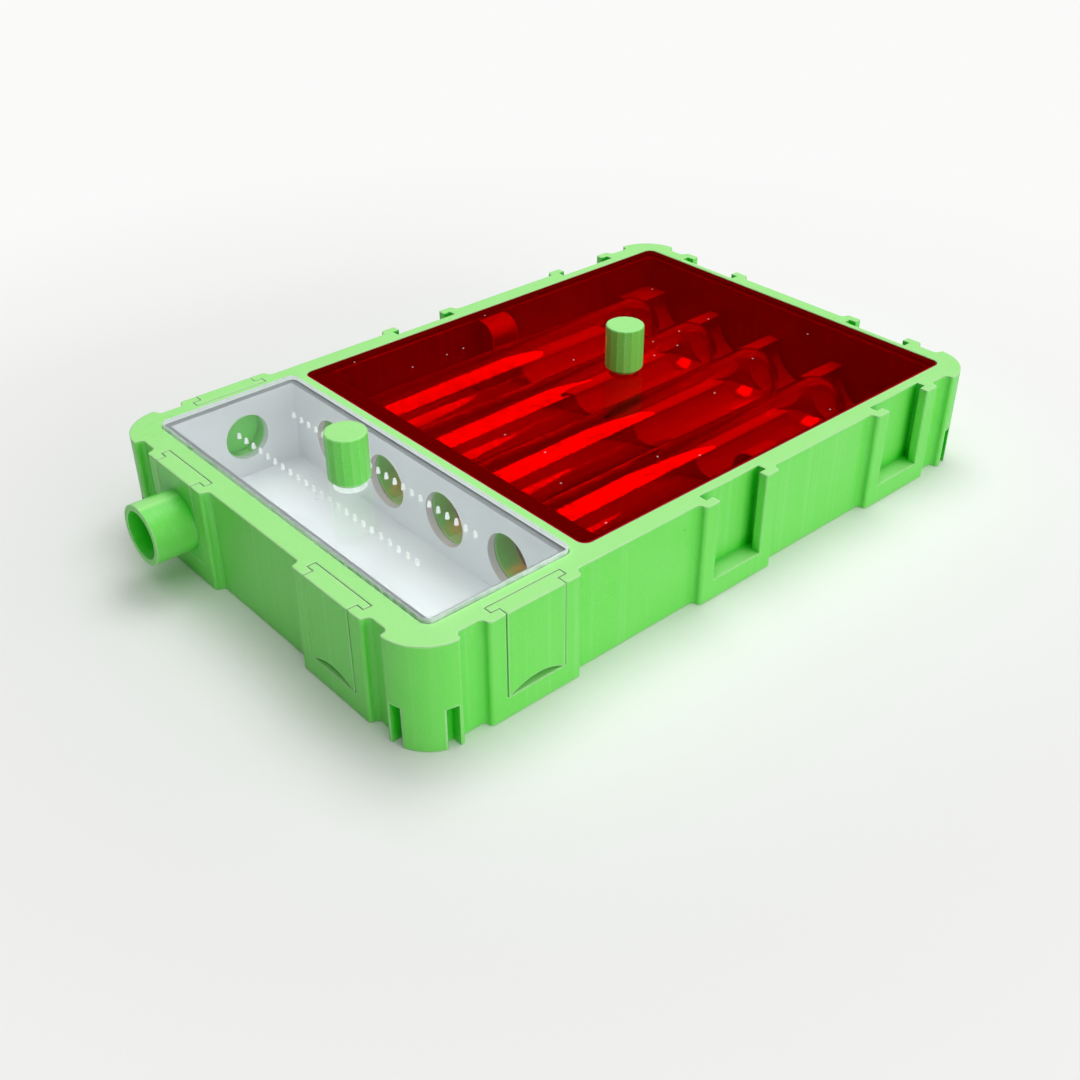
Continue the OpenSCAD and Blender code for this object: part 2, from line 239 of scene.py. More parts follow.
def printed_plastic(
    name, colours, sizes, reach, nest=(), cradle=None, rounding=None, highlight_at=0.12, speckle=0.06
):
    """Satin printed plastic: layer lines, streaks, pale edges that are a painted highlight,
    paler upward faces that are a painted sheen, and a deeper green in hollows that is painted
    shade.

    Reach is the distance within which walls paint that shade; then comes the bend of an edge at
    which its painted highlight is fully pale, and speckle is how much paler the grains are.
    Inside the nest's boxes the colour is painted light: a warmer, lighter floor, walls darkened
    as painted shade, and the palest colour on the cradle, a painted pool of light."""
    material, tree = new_material(name)
    here = tree.place()
    layers = (tree.part(here, "Z") * (math.tau / sizes.layer_height)).math("SINE")
    streaks = tree.noise(STREAKS_PER_METRE, detail=1.0, vector=tree.place((1.0, 1.0, 0.01)))
    grain = tree.noise(GRAINS_PER_METRE, roughness=0.6, vector=here)
    clouds = tree.noise(CLOUDS_PER_METRE, detail=3.0, vector=here)
    relief = layers * 0.15 + streaks * 0.5 + grain * 0.35

    soft = tree.wire("ShaderNodeBevel", {"samples": 4}, {"Radius": rounding or sizes.edge_round})
    true = tree.wire("ShaderNodeNewGeometry", output="True Normal")
    bend = 1.0 - tree.vectors("DOT_PRODUCT", soft, true, output="Value")
    # Edges where the rounding bends the normal: their pale colour below is a painted highlight.
    edge = bend.between(highlight_at * 0.05, highlight_at)
    bumps = {"Strength": 0.35, "Distance": 0.08 * MM, "Height": relief, "Normal": soft}

    # Painted shade: near walls the print's colour is mixed towards a deeper green.
    open_air = tree.wire(
        "ShaderNodeAmbientOcclusion", {"samples": 4, "only_local": True}, {"Distance": reach}, "AO"
    )
    free = open_air.between(0.4, 0.9)
    facing_up = tree.part(true, "Z")
    # Painted sheen: faces turned straight up take a paler green.
    top_sheen_share = facing_up.between(0.95, 0.99)
    outside = tree.mix_colour(top_sheen_share, colours.print_green, colours.painted_top_sheen)
    body = tree.mix_colour(free, colours.painted_hollow_shade, outside)
    # Painted light and shade inside the nest's boxes.
    if nest:
        inside = 0.0
        for box in nest:
            inside = within(tree, *box).math("MAXIMUM", inside)
        body = tree.mix_colour(inside, body, nest_painted_light(tree, colours, facing_up, cradle))
    # Random paler mottling, grains and streaks, and the painted highlight along edges.
    pale_shares = (
        clouds.between(0.3, 0.7) * free * CLOUD_SHARE,
        grain.between(0.5, 0.7) * free * speckle,
        streaks.between(0.5, 0.75) * free * STREAK_SHARE,
        edge * open_air.between(0.7, 0.95) * EDGE_HIGHLIGHT_SHARE,
    )
    for share in pale_shares:
        body = tree.mix_colour(share, body, colours.print_pale_and_highlight)
    skin = {
        "Base Color": body,
        "Roughness": 0.24 + clouds * 0.1,
        "Normal": tree.wire("ShaderNodeBump", None, bumps),
    }
    tree.finish(tree.wire("ShaderNodeBsdfPrincipled", None, skin))
    return material


def tray_plastic(colours):
    """Smooth white plastic with faint mottling."""
    material, tree = new_material("tray_plastic")
    here = tree.place()
    clouds = tree.noise(TRAY_CLOUDS_PER_METRE, detail=3.0, vector=here)
    grain = tree.noise(TRAY_GRAINS_PER_METRE, vector=here)
    white = colours.tray_white
    bumps = {"Strength": 0.15, "Distance": 0.05 * MM, "Height": grain}
    skin = {
        "Base Color": tree.mix_colour(clouds.between(0.35, 0.65), shade(white, 0.97), white),
        "Roughness": 0.34 + clouds * 0.1,
        "Normal": tree.wire("ShaderNodeBump", None, bumps),
    }
    tree.finish(tree.wire("ShaderNodeBsdfPrincipled", None, skin))
    return material


def dust_grains(tree, share):
    """1 on the round grains of dust in this share of the cells, 0 elsewhere."""
    cells = tree.node(
        "ShaderNodeTexVoronoi",
        {"voronoi_dimensions": "2D"},
        {"Vector": tree.place(), "Scale": DUST_CELLS},
    )
    pick = tree.part(Wire(tree, cells.outputs["Color"]), "X")
    return (Wire(tree, cells.outputs["Distance"]) < DUST_RADIUS) * (pick < share)


def let_lamps_through(tree, body, shadow):
    """Finishes a tree whose surface lets lamp light pass, tinted by this colour."""
    clear = tree.wire("ShaderNodeBsdfTransparent", None, {"Color": shadow})
    ray = tree.wire("ShaderNodeLightPath", output="Is Shadow Ray")
    tree.finish(tree.mix_surface(ray, body, clear))


def clear_face(tree, colour, index, mirror=WHITE, shine=1.0):
    """Bends one share of the light and mirrors the rest, by the angle at which it is met."""
    bending = {"Color": colour, "Roughness": 0.0, "IOR": index}
    bent = tree.wire("ShaderNodeBsdfRefraction", None, bending)
    gloss = tree.wire("ShaderNodeBsdfGlossy", None, {"Color": mirror, "Roughness": 0.0})
    share = (tree.wire("ShaderNodeFresnel", None, {"IOR": index}) * shine).math("MINIMUM", 1.0)
    return tree.mix_surface(share, bent, gloss)


def clear_sheet_finish(name, colour, shadow, mirror, dust, haze):
    """Acrylic sheet with a few grains of dust and a faint haze of its own colour."""
    material, tree = new_material(name)
    mist = tree.wire("ShaderNodeBsdfTranslucent", None, {"Color": colour})
    body = tree.mix_surface(haze, clear_face(tree, colour, ACRYLIC_INDEX, mirror), mist)
    powder = tree.wire("ShaderNodeBsdfDiffuse", None, {"Color": POWDER})
    dusty = tree.mix_surface(dust_grains(tree, dust) * DUST_COVER, body, powder)
    let_lamps_through(tree, dusty, shadow)
    return material


def tube_glass(colour):
    """Thin clear glass with brightly mirroring faces."""
    material, tree = new_material("tube_glass")
    let_lamps_through(tree, clear_face(tree, colour, GLASS_INDEX, shine=GLASS_SHINE), colour)
    return material


def cut_edge(name, colour, frost, shadow, glow):
    """Cut side of a sheet, frosted from outside; seen from within the sheet it glows, a painted
    glow that stands in for the light the sheet guides to its sides.
    """
    material, tree = new_material(name)
    saw = tree.noise(SAW_MARKS_PER_METRE, vector=tree.place((1.0, 1.0, 0.05)))
    pale = tree.wire("ShaderNodeBsdfDiffuse", None, {"Color": frost})
    from_within = tree.wire("ShaderNodeNewGeometry", output="Backfacing")
    # Painted glow on the cut side, seen from within the sheet.
    painted_glow = tree.wire("ShaderNodeEmission", None, {"Color": frost, "Strength": glow})
    side = tree.mix_surface(from_within, pale, painted_glow)
    clear = clear_face(tree, colour, ACRYLIC_INDEX)
    let_lamps_through(tree, tree.mix_surface(0.6 + saw * 0.3, clear, side), shadow)
    return material


def drilled_hole(name, frost, shadow):
    """Rough white wall of a small hole drilled through a clear sheet."""
    material, tree = new_material(name)
    scratches = tree.noise(1500.0)
    pale = tree.wire("ShaderNodeBsdfDiffuse", None, {"Color": frost})
    lit = tree.wire("ShaderNodeBsdfTranslucent", None, {"Color": frost})
    let_lamps_through(tree, tree.mix_surface(0.3 + scratches * 0.4, pale, lit), shadow)
    return material


def dress(node, material):
    """Gives a CAD node its finish."""
    held = frame["nodes"][node]
    held.data.materials.clear()
    held.data.materials.append(material)


# ---------------------------------------------------------------- mesh making

# Straight steps in which round forms are drawn.
CORNER_STEPS = 12
PLUG_HOLE_STEPS = 48
VENT_STEPS = 16
PLUG_EDGE_STEPS = 4
STEPS_PER_FACET = 4
TUBE_RIM_STEPS = 8
TUBE_END_STEPS = 20
TUBE_SIDES = 96
# Angles, in degrees, above which an edge looks sharp.
SHEET_SHARP = 30
PLUG_SHARP = 8


def place_piece(mesh, node, materials):
    """Links a piece that stands for a CAD node and rides on its body."""
    piece = bpy.data.objects.new(mesh.name, mesh)
    for material in materials:
        mesh.materials.append(material)
    bpy.context.scene.collection.objects.link(piece)
    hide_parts(node)
    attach(piece, frame["nodes"][node]["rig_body"])


def arc(centre, radius, start, end, steps):
    """Points of an arc in a plane, angles in degrees."""
    turns = [math.radians(start + (end - start) * i / steps) for i in range(steps + 1)]
    return [(centre[0] + radius * math.cos(t), centre[1] + radius * math.sin(t)) for t in turns]


def turned(name, profile, sides, closed=False, radius_at=None):
    """A mesh turned about Z from (radius, height) points; radius_at may vary it by angle."""
    mesh = bpy.data.meshes.new(name)
    maker = bmesh.new()
    rings = []
    for radius, height in profile:
        ring = []
        for step in range(sides if radius > 0 else 1):
            angle = math.tau * step / sides
            reach = radius * (radius_at(angle) if radius_at else 1.0)
            spot = (reach * math.cos(angle), reach * math.sin(angle), height)
            ring.append(maker.verts.new(spot))
        rings.append(ring)
    pairs = list(zip(rings, rings[1:]))
    if closed:
        pairs.append((rings[-1], rings[0]))
    for low, high in pairs:
        for step in range(sides):
            after = step + 1
            corners = [low[step % len(low)], low[after % len(low)]]
            corners += [high[after % len(high)], high[step % len(high)]]
            face = list(dict.fromkeys(corners))
            if len(face) > 2:
                maker.faces.new(face)
    bmesh.ops.recalc_face_normals(maker, faces=maker.faces)
    for face in maker.faces:
        face.smooth = True
    maker.to_mesh(mesh)
    maker.free()
    return mesh


def flat_sided(facets):
    """The reach of a circle with flat sides, as a share of its radius and by the angle."""
    facet = math.tau / facets

    def reach(angle):
        return math.cos(facet / 2) / math.cos(angle % facet - facet / 2)

    return reach


def sharpen(mesh, angle):
    """Makes the edges sharper than this angle, in degrees, look sharp."""
    maker = bmesh.new()
    maker.from_mesh(mesh)
    for edge in maker.edges:
        edge.smooth = len(edge.link_faces) == 2 and edge.calc_face_angle() < math.radians(angle)
    maker.to_mesh(mesh)
    maker.free()


def circle_outline(centre, radius, steps):
    """A closed outline as a function of how far it is drawn inwards."""

    def outline(inset):
        return arc((centre.x, centre.y), radius - inset, 0, 360, steps)[:-1]

    return outline


def rounded_outline(low, high, radius):
    """The outline of a rectangle with round corners, as a function of its inset."""
    right, left = high.x - radius, low.x + radius
    back, front = high.y - radius, low.y + radius
    corners = (((right, back), 0), ((left, back), 90), ((left, front), 180), ((right, front), 270))

    def outline(inset):
        points = []
        for centre, start in corners:
            points += arc(centre, radius - inset, start, start + 90, CORNER_STEPS)
        return points

    return outline


def sheet_mesh(name, rings, bottom, top):
    """A flat sheet. Each ring is its outline below and above, how far its edges are broken
    inwards, less than 0 for a hole, and the number of the material on its cut side."""
    mesh = bpy.data.meshes.new(name)
    maker = bmesh.new()
    caps = {bottom: [], top: []}
    for below, above, broken, finish in rings:
        levels = [(below, broken, bottom), (above, broken, top)]
        if broken:
            levels.insert(1, (below, 0.0, bottom + abs(broken)))
            levels.insert(2, (above, 0.0, top - abs(broken)))
        loops = []
        for outline, inset, height in levels:
            loops.append([maker.verts.new((x, y, height)) for x, y in outline(inset)])
        for low, high in zip(loops, loops[1:]):
            for step in range(len(low)):
                after = (step + 1) % len(low)
                face = maker.faces.new((low[step], low[after], high[after], high[step]))
                face.material_index = finish
                face.smooth = True
        for height, loop in ((bottom, loops[0]), (top, loops[-1])):
            caps[height] += [maker.edges.get((v, w)) for v, w in zip(loop, loop[1:] + loop[:1])]
    for edges in caps.values():
        bmesh.ops.triangle_fill(maker, use_beauty=True, edges=edges, normal=(0.0, 0.0, 1.0))
    bmesh.ops.recalc_face_normals(maker, faces=maker.faces)
    maker.to_mesh(mesh)
    maker.free()
    sharpen(mesh, SHEET_SHARP)
    return mesh


# ---------------------------------------------------------------- settings


class HabitatColours(bpy.types.PropertyGroup):
    """Colours of the pieces and of the studio's floor, in linear light."""

    print_green: bpy.props.FloatVectorProperty(
        name="Print green",
        description="Colour of the printed case, plates and plugs",
        subtype="COLOR",
        size=4,
        default=(0.16, 0.78, 0.09, 1.0),
    )
    # Painted shade: the green that hollows and inner corners are mixed towards.
    painted_hollow_shade: bpy.props.FloatVectorProperty(
        name="Print in hollows",
        description="Deeper colour of the print in slots and inner corners",
        subtype="COLOR",
        size=4,
        default=(0.008, 0.64, 0.005, 1.0),
    )
    # Painted sheen: the paler green of faces turned straight up.
    painted_top_sheen: bpy.props.FloatVectorProperty(
        name="Print on top faces",
        description="Paler colour of the last printed layer",
        subtype="COLOR",
        size=4,
        default=(0.39, 0.92, 0.28, 1.0),
    )
    # Painted shade on the nest chamber's walls.
    nest_wall_painted_shade: bpy.props.FloatVectorProperty(
        name="Nest walls",
        description="Warmer colour of the print on the walls of the nest chamber",
        subtype="COLOR",
        size=4,
        default=(0.08, 0.58, 0.06, 1.0),
    )
    # Painted light on the nest chamber's floor.
    nest_floor_painted_light: bpy.props.FloatVectorProperty(
        name="Nest floor",
        description="Warmer colour of the print on the floor of the nest chamber",
        subtype="COLOR",
        size=4,
        default=(0.36, 0.70, 0.14, 1.0),
    )
    # Painted pool of light on the cradle.
    cradle_painted_light: bpy.props.FloatVectorProperty(
        name="Nest saddles",
        description="Pale colour of the print on the cradle that carries the tubes",
        subtype="COLOR",
        size=4,
        default=(0.80, 0.90, 0.40, 1.0),
    )
    # Pale tone of the print's mottling, grains and streaks, and the painted highlight along edges.
    print_pale_and_highlight: bpy.props.FloatVectorProperty(
        name="Print edge",
        description="Paler colour along the edges of printed pieces",
        subtype="COLOR",
        size=4,
        default=(0.75, 0.97, 0.66, 1.0),
    )
    tray_white: bpy.props.FloatVectorProperty(
        name="Tray white",
        description="Colour of the foraging tray",
        subtype="COLOR",
        size=4,
        default=(0.80, 0.81, 0.84, 1.0),
    )
    clear_sheet: bpy.props.FloatVectorProperty(
        name="Clear sheet",
        description="Colour that the clear cover lets through at each face",
        subtype="COLOR",
        size=4,
        default=(0.975, 0.99, 0.985, 1.0),
    )
    clear_shadow: bpy.props.FloatVectorProperty(
        name="Clear sheet's shadow",
        description="Colour of the lamp light that falls through each face of the clear cover",
        subtype="COLOR",
        size=4,
        default=(0.95, 0.97, 0.96, 1.0),
    )
    clear_frost: bpy.props.FloatVectorProperty(
        name="Clear sheet's cut side",
        description="Colour of the frosted cut sides of the clear cover",
        subtype="COLOR",
        size=4,
        default=(0.80, 0.90, 0.86, 1.0),
    )
    vent_frost: bpy.props.FloatVectorProperty(
        name="Vent walls",
        description="Colour of the rough walls of the vent holes",
        subtype="COLOR",
        size=4,
        default=(0.92, 0.94, 0.93, 1.0),
    )
    red_sheet: bpy.props.FloatVectorProperty(
        name="Red sheet",
        description="Colour that the red cover lets through at each face",
        subtype="COLOR",
        size=4,
        default=(0.97, 0.004, 0.010, 1.0),
    )
    red_shadow: bpy.props.FloatVectorProperty(
        name="Red sheet's shadow",
        description="Colour of the lamp light that falls through each face of the red cover",
        subtype="COLOR",
        size=4,
        default=(0.98, 0.003, 0.008, 1.0),
    )
    red_frost: bpy.props.FloatVectorProperty(
        name="Red sheet's cut side",
        description="Colour of the frosted cut sides of the red cover",
        subtype="COLOR",
        size=4,
        default=(0.60, 0.01, 0.02, 1.0),
    )
    red_mirror: bpy.props.FloatVectorProperty(
        name="Red sheet's mirror image",
        description="Colour of what the faces of the red cover mirror",
        subtype="COLOR",
        size=4,
        default=(1.0, 0.12, 0.12, 1.0),
    )
    tube_glass: bpy.props.FloatVectorProperty(
        name="Tube glass",
        description="Colour that the test tubes let through at each face",
        subtype="COLOR",
        size=4,
        default=(0.97, 0.98, 0.98, 1.0),
    )
    floor: bpy.props.FloatVectorProperty(
        name="Floor",
        description="Colour of the studio floor",
        subtype="COLOR",
        size=4,
        default=(0.90, 0.90, 0.893, 1.0),
    )


class HabitatSizes(bpy.types.PropertyGroup):
    """Sizes of the finishes, of the detail in the pieces made here, and of the camera's lens."""

    layer_height: bpy.props.FloatProperty(
        name="Layer height",
        description="Height of one printed layer",
        unit="LENGTH",
        default=0.2 * MM,
    )
    edge_round: bpy.props.FloatProperty(
        name="Edge rounding",
        description="Radius by which the edges of printed pieces look rounded",
        unit="LENGTH",
        default=0.6 * MM,
    )
    # Reach of the painted shade in hollows.
    painted_shade_reach: bpy.props.FloatProperty(
        name="Hollow reach",
        description="Distance within which neighbouring walls deepen the print's colour",
        unit="LENGTH",
        default=4 * MM,
    )
    # Reach of the painted shade in the plates' hollows and the connector's bore.
    bore_painted_shade_reach: bpy.props.FloatProperty(
        name="Bore reach",
        description="The same distance for the plates, wide enough for the connector's bore",
        unit="LENGTH",
        default=14 * MM,
    )
    nest_margin: bpy.props.FloatProperty(
        name="Nest margin",
        description="How far the nest's colour reaches past the faces of its chamber",
        unit="LENGTH",
        default=0.3 * MM,
    )
    socket_depth: bpy.props.FloatProperty(
        name="Socket depth",
        description="Distance from a tube's mouth to the front wall of the nest",
        unit="LENGTH",
        default=2.7 * MM,
    )
    cradle_front: bpy.props.FloatProperty(
        name="Cradle front",
        description="Distance from a tube's mouth to the front of the cradle",
        unit="LENGTH",
        default=58 * MM,
    )
    cradle_length: bpy.props.FloatProperty(
        name="Cradle length",
        description="Length of the cradle along the tubes",
        unit="LENGTH",
        default=35 * MM,
    )
    plug_stem: bpy.props.FloatProperty(
        name="Plug stem",
        description="Radius of a plug's stem in its cover",
        unit="LENGTH",
        default=3.15 * MM,
    )
    plug_flare: bpy.props.FloatProperty(
        name="Plug flare",
        description="Width and height of the slope under a plug's head",
        unit="LENGTH",
        default=1.0 * MM,
    )
    plug_edge: bpy.props.FloatProperty(
        name="Plug edge",
        description="Rounding of a plug's upper edge and of the foot of its stem",
        unit="LENGTH",
        default=0.35 * MM,
    )
    plug_facets: bpy.props.IntProperty(
        name="Plug facets",
        description="Number of flat sides round a printed plug",
        default=16,
    )
    cover_corner: bpy.props.FloatProperty(
        name="Cover corners",
        description="Radius of the round corners of both covers",
        unit="LENGTH",
        default=2.1 * MM,
    )
    sheet_chamfer: bpy.props.FloatProperty(
        name="Sheet chamfer",
        description="Width of the broken edges of both covers",
        unit="LENGTH",
        default=0.2 * MM,
    )
    plug_hole: bpy.props.FloatProperty(
        name="Plug hole",
        description="Radius of the hole for the plug in each cover",
        unit="LENGTH",
        default=3.45 * MM,
    )
    vent_top: bpy.props.FloatProperty(
        name="Vent radius above",
        description="Radius of a vent hole in the upper face of the clear cover",
        unit="LENGTH",
        default=0.3 * MM,
    )
    vent_bottom: bpy.props.FloatProperty(
        name="Vent radius below",
        description="Radius of a vent hole in the lower face of the clear cover",
        unit="LENGTH",
        default=0.5 * MM,
    )
    vent_count: bpy.props.IntProperty(
        name="Vents per row",
        description="Number of vent holes in each of the two rows",
        default=23,
    )
    vent_pitch: bpy.props.FloatProperty(
        name="Vent pitch",
        description="Distance between neighbouring vent holes of a row",
        unit="LENGTH",
        default=3 * MM,
    )
    vent_row: bpy.props.FloatProperty(
        name="Vent row",
        description="Distance of each row of vent holes from the middle of the clear cover",
        unit="LENGTH",
        default=7.2 * MM,
    )
    tube_wall: bpy.props.FloatProperty(
        name="Tube wall",
        description="Thickness of the glass of a test tube",
        unit="LENGTH",
        default=1.1 * MM,
    )
    lens: bpy.props.FloatProperty(
        name="Lens",
        description="Focal length of the camera, in millimetres on a 36 mm sensor",
        unit="CAMERA",
        default=43.876,
    )


def colours_of(context):
    return context.scene.habitat_colours


def sizes_of(context):
    return context.scene.habitat_sizes


# ---------------------------------------------------------------- pieces

# Places of the materials in a cover's finish, after the one of its faces.
CUT_SIDE = 1
VENT_SIDE = 2


class HABITAT_OT_printed_pieces(bpy.types.Operator):
    """Finish the printed case and the port plates"""

    bl_idname = "habitat.printed_pieces"
    bl_label = "Printed case and plates"

    def execute(self, context):
        colours, sizes = colours_of(context), sizes_of(context)
        low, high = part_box("red_cover")
        case_low, case_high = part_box("case_body")
        tube_low, tube_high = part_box(TUBE_NODES[0])
        room = sizes.nest_margin
        nest_front = tube_low.y + sizes.socket_depth
        far = (high.x + room, high.y + room, case_high.z - room)
        chamber = ((low.x - room, nest_front - room, case_low.z + room), far)
        ledge = ((low.x - room, low.y - room, low.z - room), far)
        front = tube_low.y + sizes.cradle_front
        cradle = (
            (low.x, front, tube_low.z - room),
            (high.x, front + sizes.cradle_length, (tube_low.z + tube_high.z) / 2),
        )
        # Boxes where the case's colour is painted light and shade: the nest chamber, its ledge, and
        # the cradle, where it is palest.
        nest = (chamber, ledge)
        case = printed_plastic("printed_case", colours, sizes, sizes.painted_shade_reach, nest, cradle)
        dress("case_body", case)
        # The plates' painted shade reaches across the connector's bore.
        plates = printed_plastic("printed_plates", colours, sizes, sizes.bore_painted_shade_reach)
        for node in PLATE_NODES:
            dress(node, plates)
        return {"FINISHED"}


class HABITAT_OT_plugs(bpy.types.Operator):
    """Turn the two printed plugs, with the flat facets that printing leaves"""

    bl_idname = "habitat.plugs"
    bl_label = "Plugs"

    def execute(self, context):
        colours, sizes = colours_of(context), sizes_of(context)
        reach, rounding = sizes.painted_shade_reach, sizes.edge_round / 3
        # Plugs take painted shade in hollows, painted sheen on top and a painted highlight on facet
        # edges.
        material = printed_plastic(
            "printed_plugs", colours, sizes, reach, rounding=rounding, highlight_at=0.05, speckle=0.12
        )
        sides, facets = sizes.plug_facets * STEPS_PER_FACET, flat_sided(sizes.plug_facets)
        for cover in ("clear_cover", "red_cover"):
            node = cover + "_plug"
            low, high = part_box(node)
            head = (high.x - low.x) / 2
            profile = self.profile(head, low.z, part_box(cover)[1].z, high.z, sizes)
            mesh = turned(node + "_turned", profile, sides, radius_at=facets)
            middle = (low + high) / 2
            mesh.transform(Matrix.Translation((middle.x, middle.y, 0.0)))
            sharpen(mesh, PLUG_SHARP)
            place_piece(mesh, node, [material])
        return {"FINISHED"}

    @staticmethod
    def profile(head, bottom, seat, top, sizes):
        """A plug's outline as (radius, height) points: its stem, and its head on the cover."""
        stem, flare, edge = sizes.plug_stem, sizes.plug_flare, sizes.plug_edge
        points = [(0.0, bottom), (stem - edge, bottom), (stem, bottom + edge), (stem, seat)]
        points += [(head - flare, seat), (head, seat + flare)]
        points += arc((head - edge, top - edge), edge, 0, 90, PLUG_EDGE_STEPS)
        return points + [(0.0, top)]


class HABITAT_OT_foraging_tray(bpy.types.Operator):
    """Finish the white foraging tray"""

    bl_idname = "habitat.foraging_tray"
    bl_label = "Foraging tray"

    def execute(self, context):
        dress("foraging_tray", tray_plastic(colours_of(context)))
        return {"FINISHED"}


class HABITAT_OT_covers(bpy.types.Operator):
    """Cut the clear and the red cover, with broken edges, vent holes and plug holes"""

    bl_idname = "habitat.covers"
    bl_label = "Covers"

    def execute(self, context):
        colours, sizes = colours_of(context), sizes_of(context)
        clear, clear_shadow = colours.clear_sheet, colours.clear_shadow
        red, red_shadow = colours.red_sheet, colours.red_shadow
        clear_finish = [
            clear_sheet_finish("clear_sheet", clear, clear_shadow, WHITE, dust=0.03, haze=0.01),
            cut_edge("clear_edge", clear, colours.clear_frost, clear_shadow, glow=1.1),
            drilled_hole("clear_vent", colours.vent_frost, clear_shadow),
        ]
        red_finish = [
            clear_sheet_finish(
                "red_sheet", red, red_shadow, colours.red_mirror, dust=0.06, haze=0.02
            ),
            cut_edge("red_edge", red, colours.red_frost, red_shadow, glow=0.3),
        ]
        for node, slot, finish in (
            ("clear_cover", "clear_acrylic", clear_finish),
            ("red_cover", "red_acrylic", red_finish),
        ):
            low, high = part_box(node)
            middle = (low + high) / 2
            broken = sizes.sheet_chamfer
            outside = rounded_outline(low, high, sizes.cover_corner)
            hole = circle_outline(middle, sizes.plug_hole, PLUG_HOLE_STEPS)
            rings = [(outside, outside, broken, CUT_SIDE), (hole, hole, -broken, CUT_SIDE)]
            if node == "clear_cover":
                rings += self.vent_holes(middle, sizes)
            mesh = sheet_mesh(node + "_sheet", rings, low.z, high.z)
            place_piece(mesh, node, finish)
        return {"FINISHED"}

    @staticmethod
    def vent_holes(middle, sizes):
        """The rings of two rows of small tapered holes."""
        holes = []
        for index in range(sizes.vent_count):
            along = (index - (sizes.vent_count - 1) / 2) * sizes.vent_pitch
            for side in (-1, 1):
                spot = middle + Vector((along, side * sizes.vent_row, 0.0))
                below = circle_outline(spot, sizes.vent_bottom, VENT_STEPS)
                above = circle_outline(spot, sizes.vent_top, VENT_STEPS)
                holes.append((below, above, 0.0, VENT_SIDE))
        return holes


class HABITAT_OT_test_tubes(bpy.types.Operator):
    """Blow the four glass test tubes, with melted rims and round ends"""

    bl_idname = "habitat.test_tubes"
    bl_label = "Test tubes"

    def execute(self, context):
        glass = tube_glass(colours_of(context).tube_glass)
        wall = sizes_of(context).tube_wall
        for node in TUBE_NODES:
            low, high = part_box(node)
            middle = (low + high) / 2
            profile = self.profile((high.x - low.x) / 2, high.y - low.y, wall)
            mesh = turned(node + "_glass", profile, TUBE_SIDES, closed=True)
            lie_down = Matrix.Rotation(-math.pi / 2, 4, "X")
            mesh.transform(Matrix.Translation((middle.x, low.y, middle.z)) @ lie_down)
            place_piece(mesh, node, [glass])
        return {"FINISHED"}

    @staticmethod
    def profile(radius, length, wall):
        """A standing tube's closed outline, from its rim up the outside and down the inside."""
        end = (0.0, length - radius)
        points = arc((radius - wall / 2, wall / 2), wall / 2, 180, 360, TUBE_RIM_STEPS)
        points += arc(end, radius, 0, 90, TUBE_END_STEPS)[:-1] + [(0.0, length)]
        points += [(0.0, length - wall)] + arc(end, radius - wall, 90, 0, TUBE_END_STEPS)[1:]
        return points


# ---------------------------------------------------------------- studio

# The camera's sensor is in millimetres. Places and sizes are in metres from here on.
CAMERA_PLACE = Vector((205.14, -187.39, 170.74)) * MM
CAMERA_AZIMUTH = math.radians(48.694)
CAMERA_ELEVATION = math.radians(34.002)
CAMERA_ROLL = math.radians(-0.301)
SENSOR_WIDTH = 36.0
CLIP_START = 0.01

# A level of 1 is white.
PALE = (0.955, 0.955, 0.95, 1.0)
FLOOR_REACH = 6.0
FLOOR_DROP = 0.05 * MM
FLOOR_FADE = (0.1, 0.28)
FLOOR_ROUGHNESS = 0.8
KEY_PLACE = Vector((-0.1, 0.17, 0.55))
KEY_SIZE = (0.38, 0.32)
KEY_LEVEL = 3.35
SIDE_PLACE = Vector((2.85, 0.3, 0.66))
SIDE_SIZE = (2.5, 0.4)
SIDE_LEVEL = 7.0
CARD_PLACE = Vector((0.036, 0.054, 0.18))
CARD_SIZE = (0.163, 0.15)
CARD_TURN = math.radians(15.0)
CARD_LEVEL = 14.0
# Faces that light crosses on its way in and out through a cover.
COVER_FACES = 4
# The sky's light on the habitat, and its levels where it is looked at or mirrored.
DOME_LEVEL = 0.3
DOME_SLOPE = 0.3
TOP_LEVEL = 0.85
LOOKED_AT_LEVEL = 0.953
HORIZON_LEVEL = 0.95
HORIZON_DROP = 0.945
# Heights between which the sky changes, as shares of straight up.
TOP_FADE = (0.65, 0.9)
HORIZON_FADE = (0.12, 0.3)


def looked_at(tree, mirrored=True):
    """1 on rays from the camera, also through glass and, if mirrored, in reflections."""
    path = tree.node("ShaderNodeLightPath").outputs
    seen = Wire(tree, path["Is Camera Ray"]) + Wire(tree, path["Is Transmission Ray"])
    if mirrored:
        seen = seen + Wire(tree, path["Is Glossy Ray"])
    return seen.math("MINIMUM", 1.0)


def mirrored_path(tree, faces_crossed=0):
    """1 on rays that were mirrored, met no dull face and crossed so many clear ones, else 0."""
    path = tree.node("ShaderNodeLightPath").outputs
    turned_back = Wire(tree, path["Glossy Depth"]) > 0.5
    clean = Wire(tree, path["Diffuse Depth"]) < 0.5
    return turned_back * clean * (Wire(tree, path["Transmission Depth"]) > faces_crossed - 0.5)


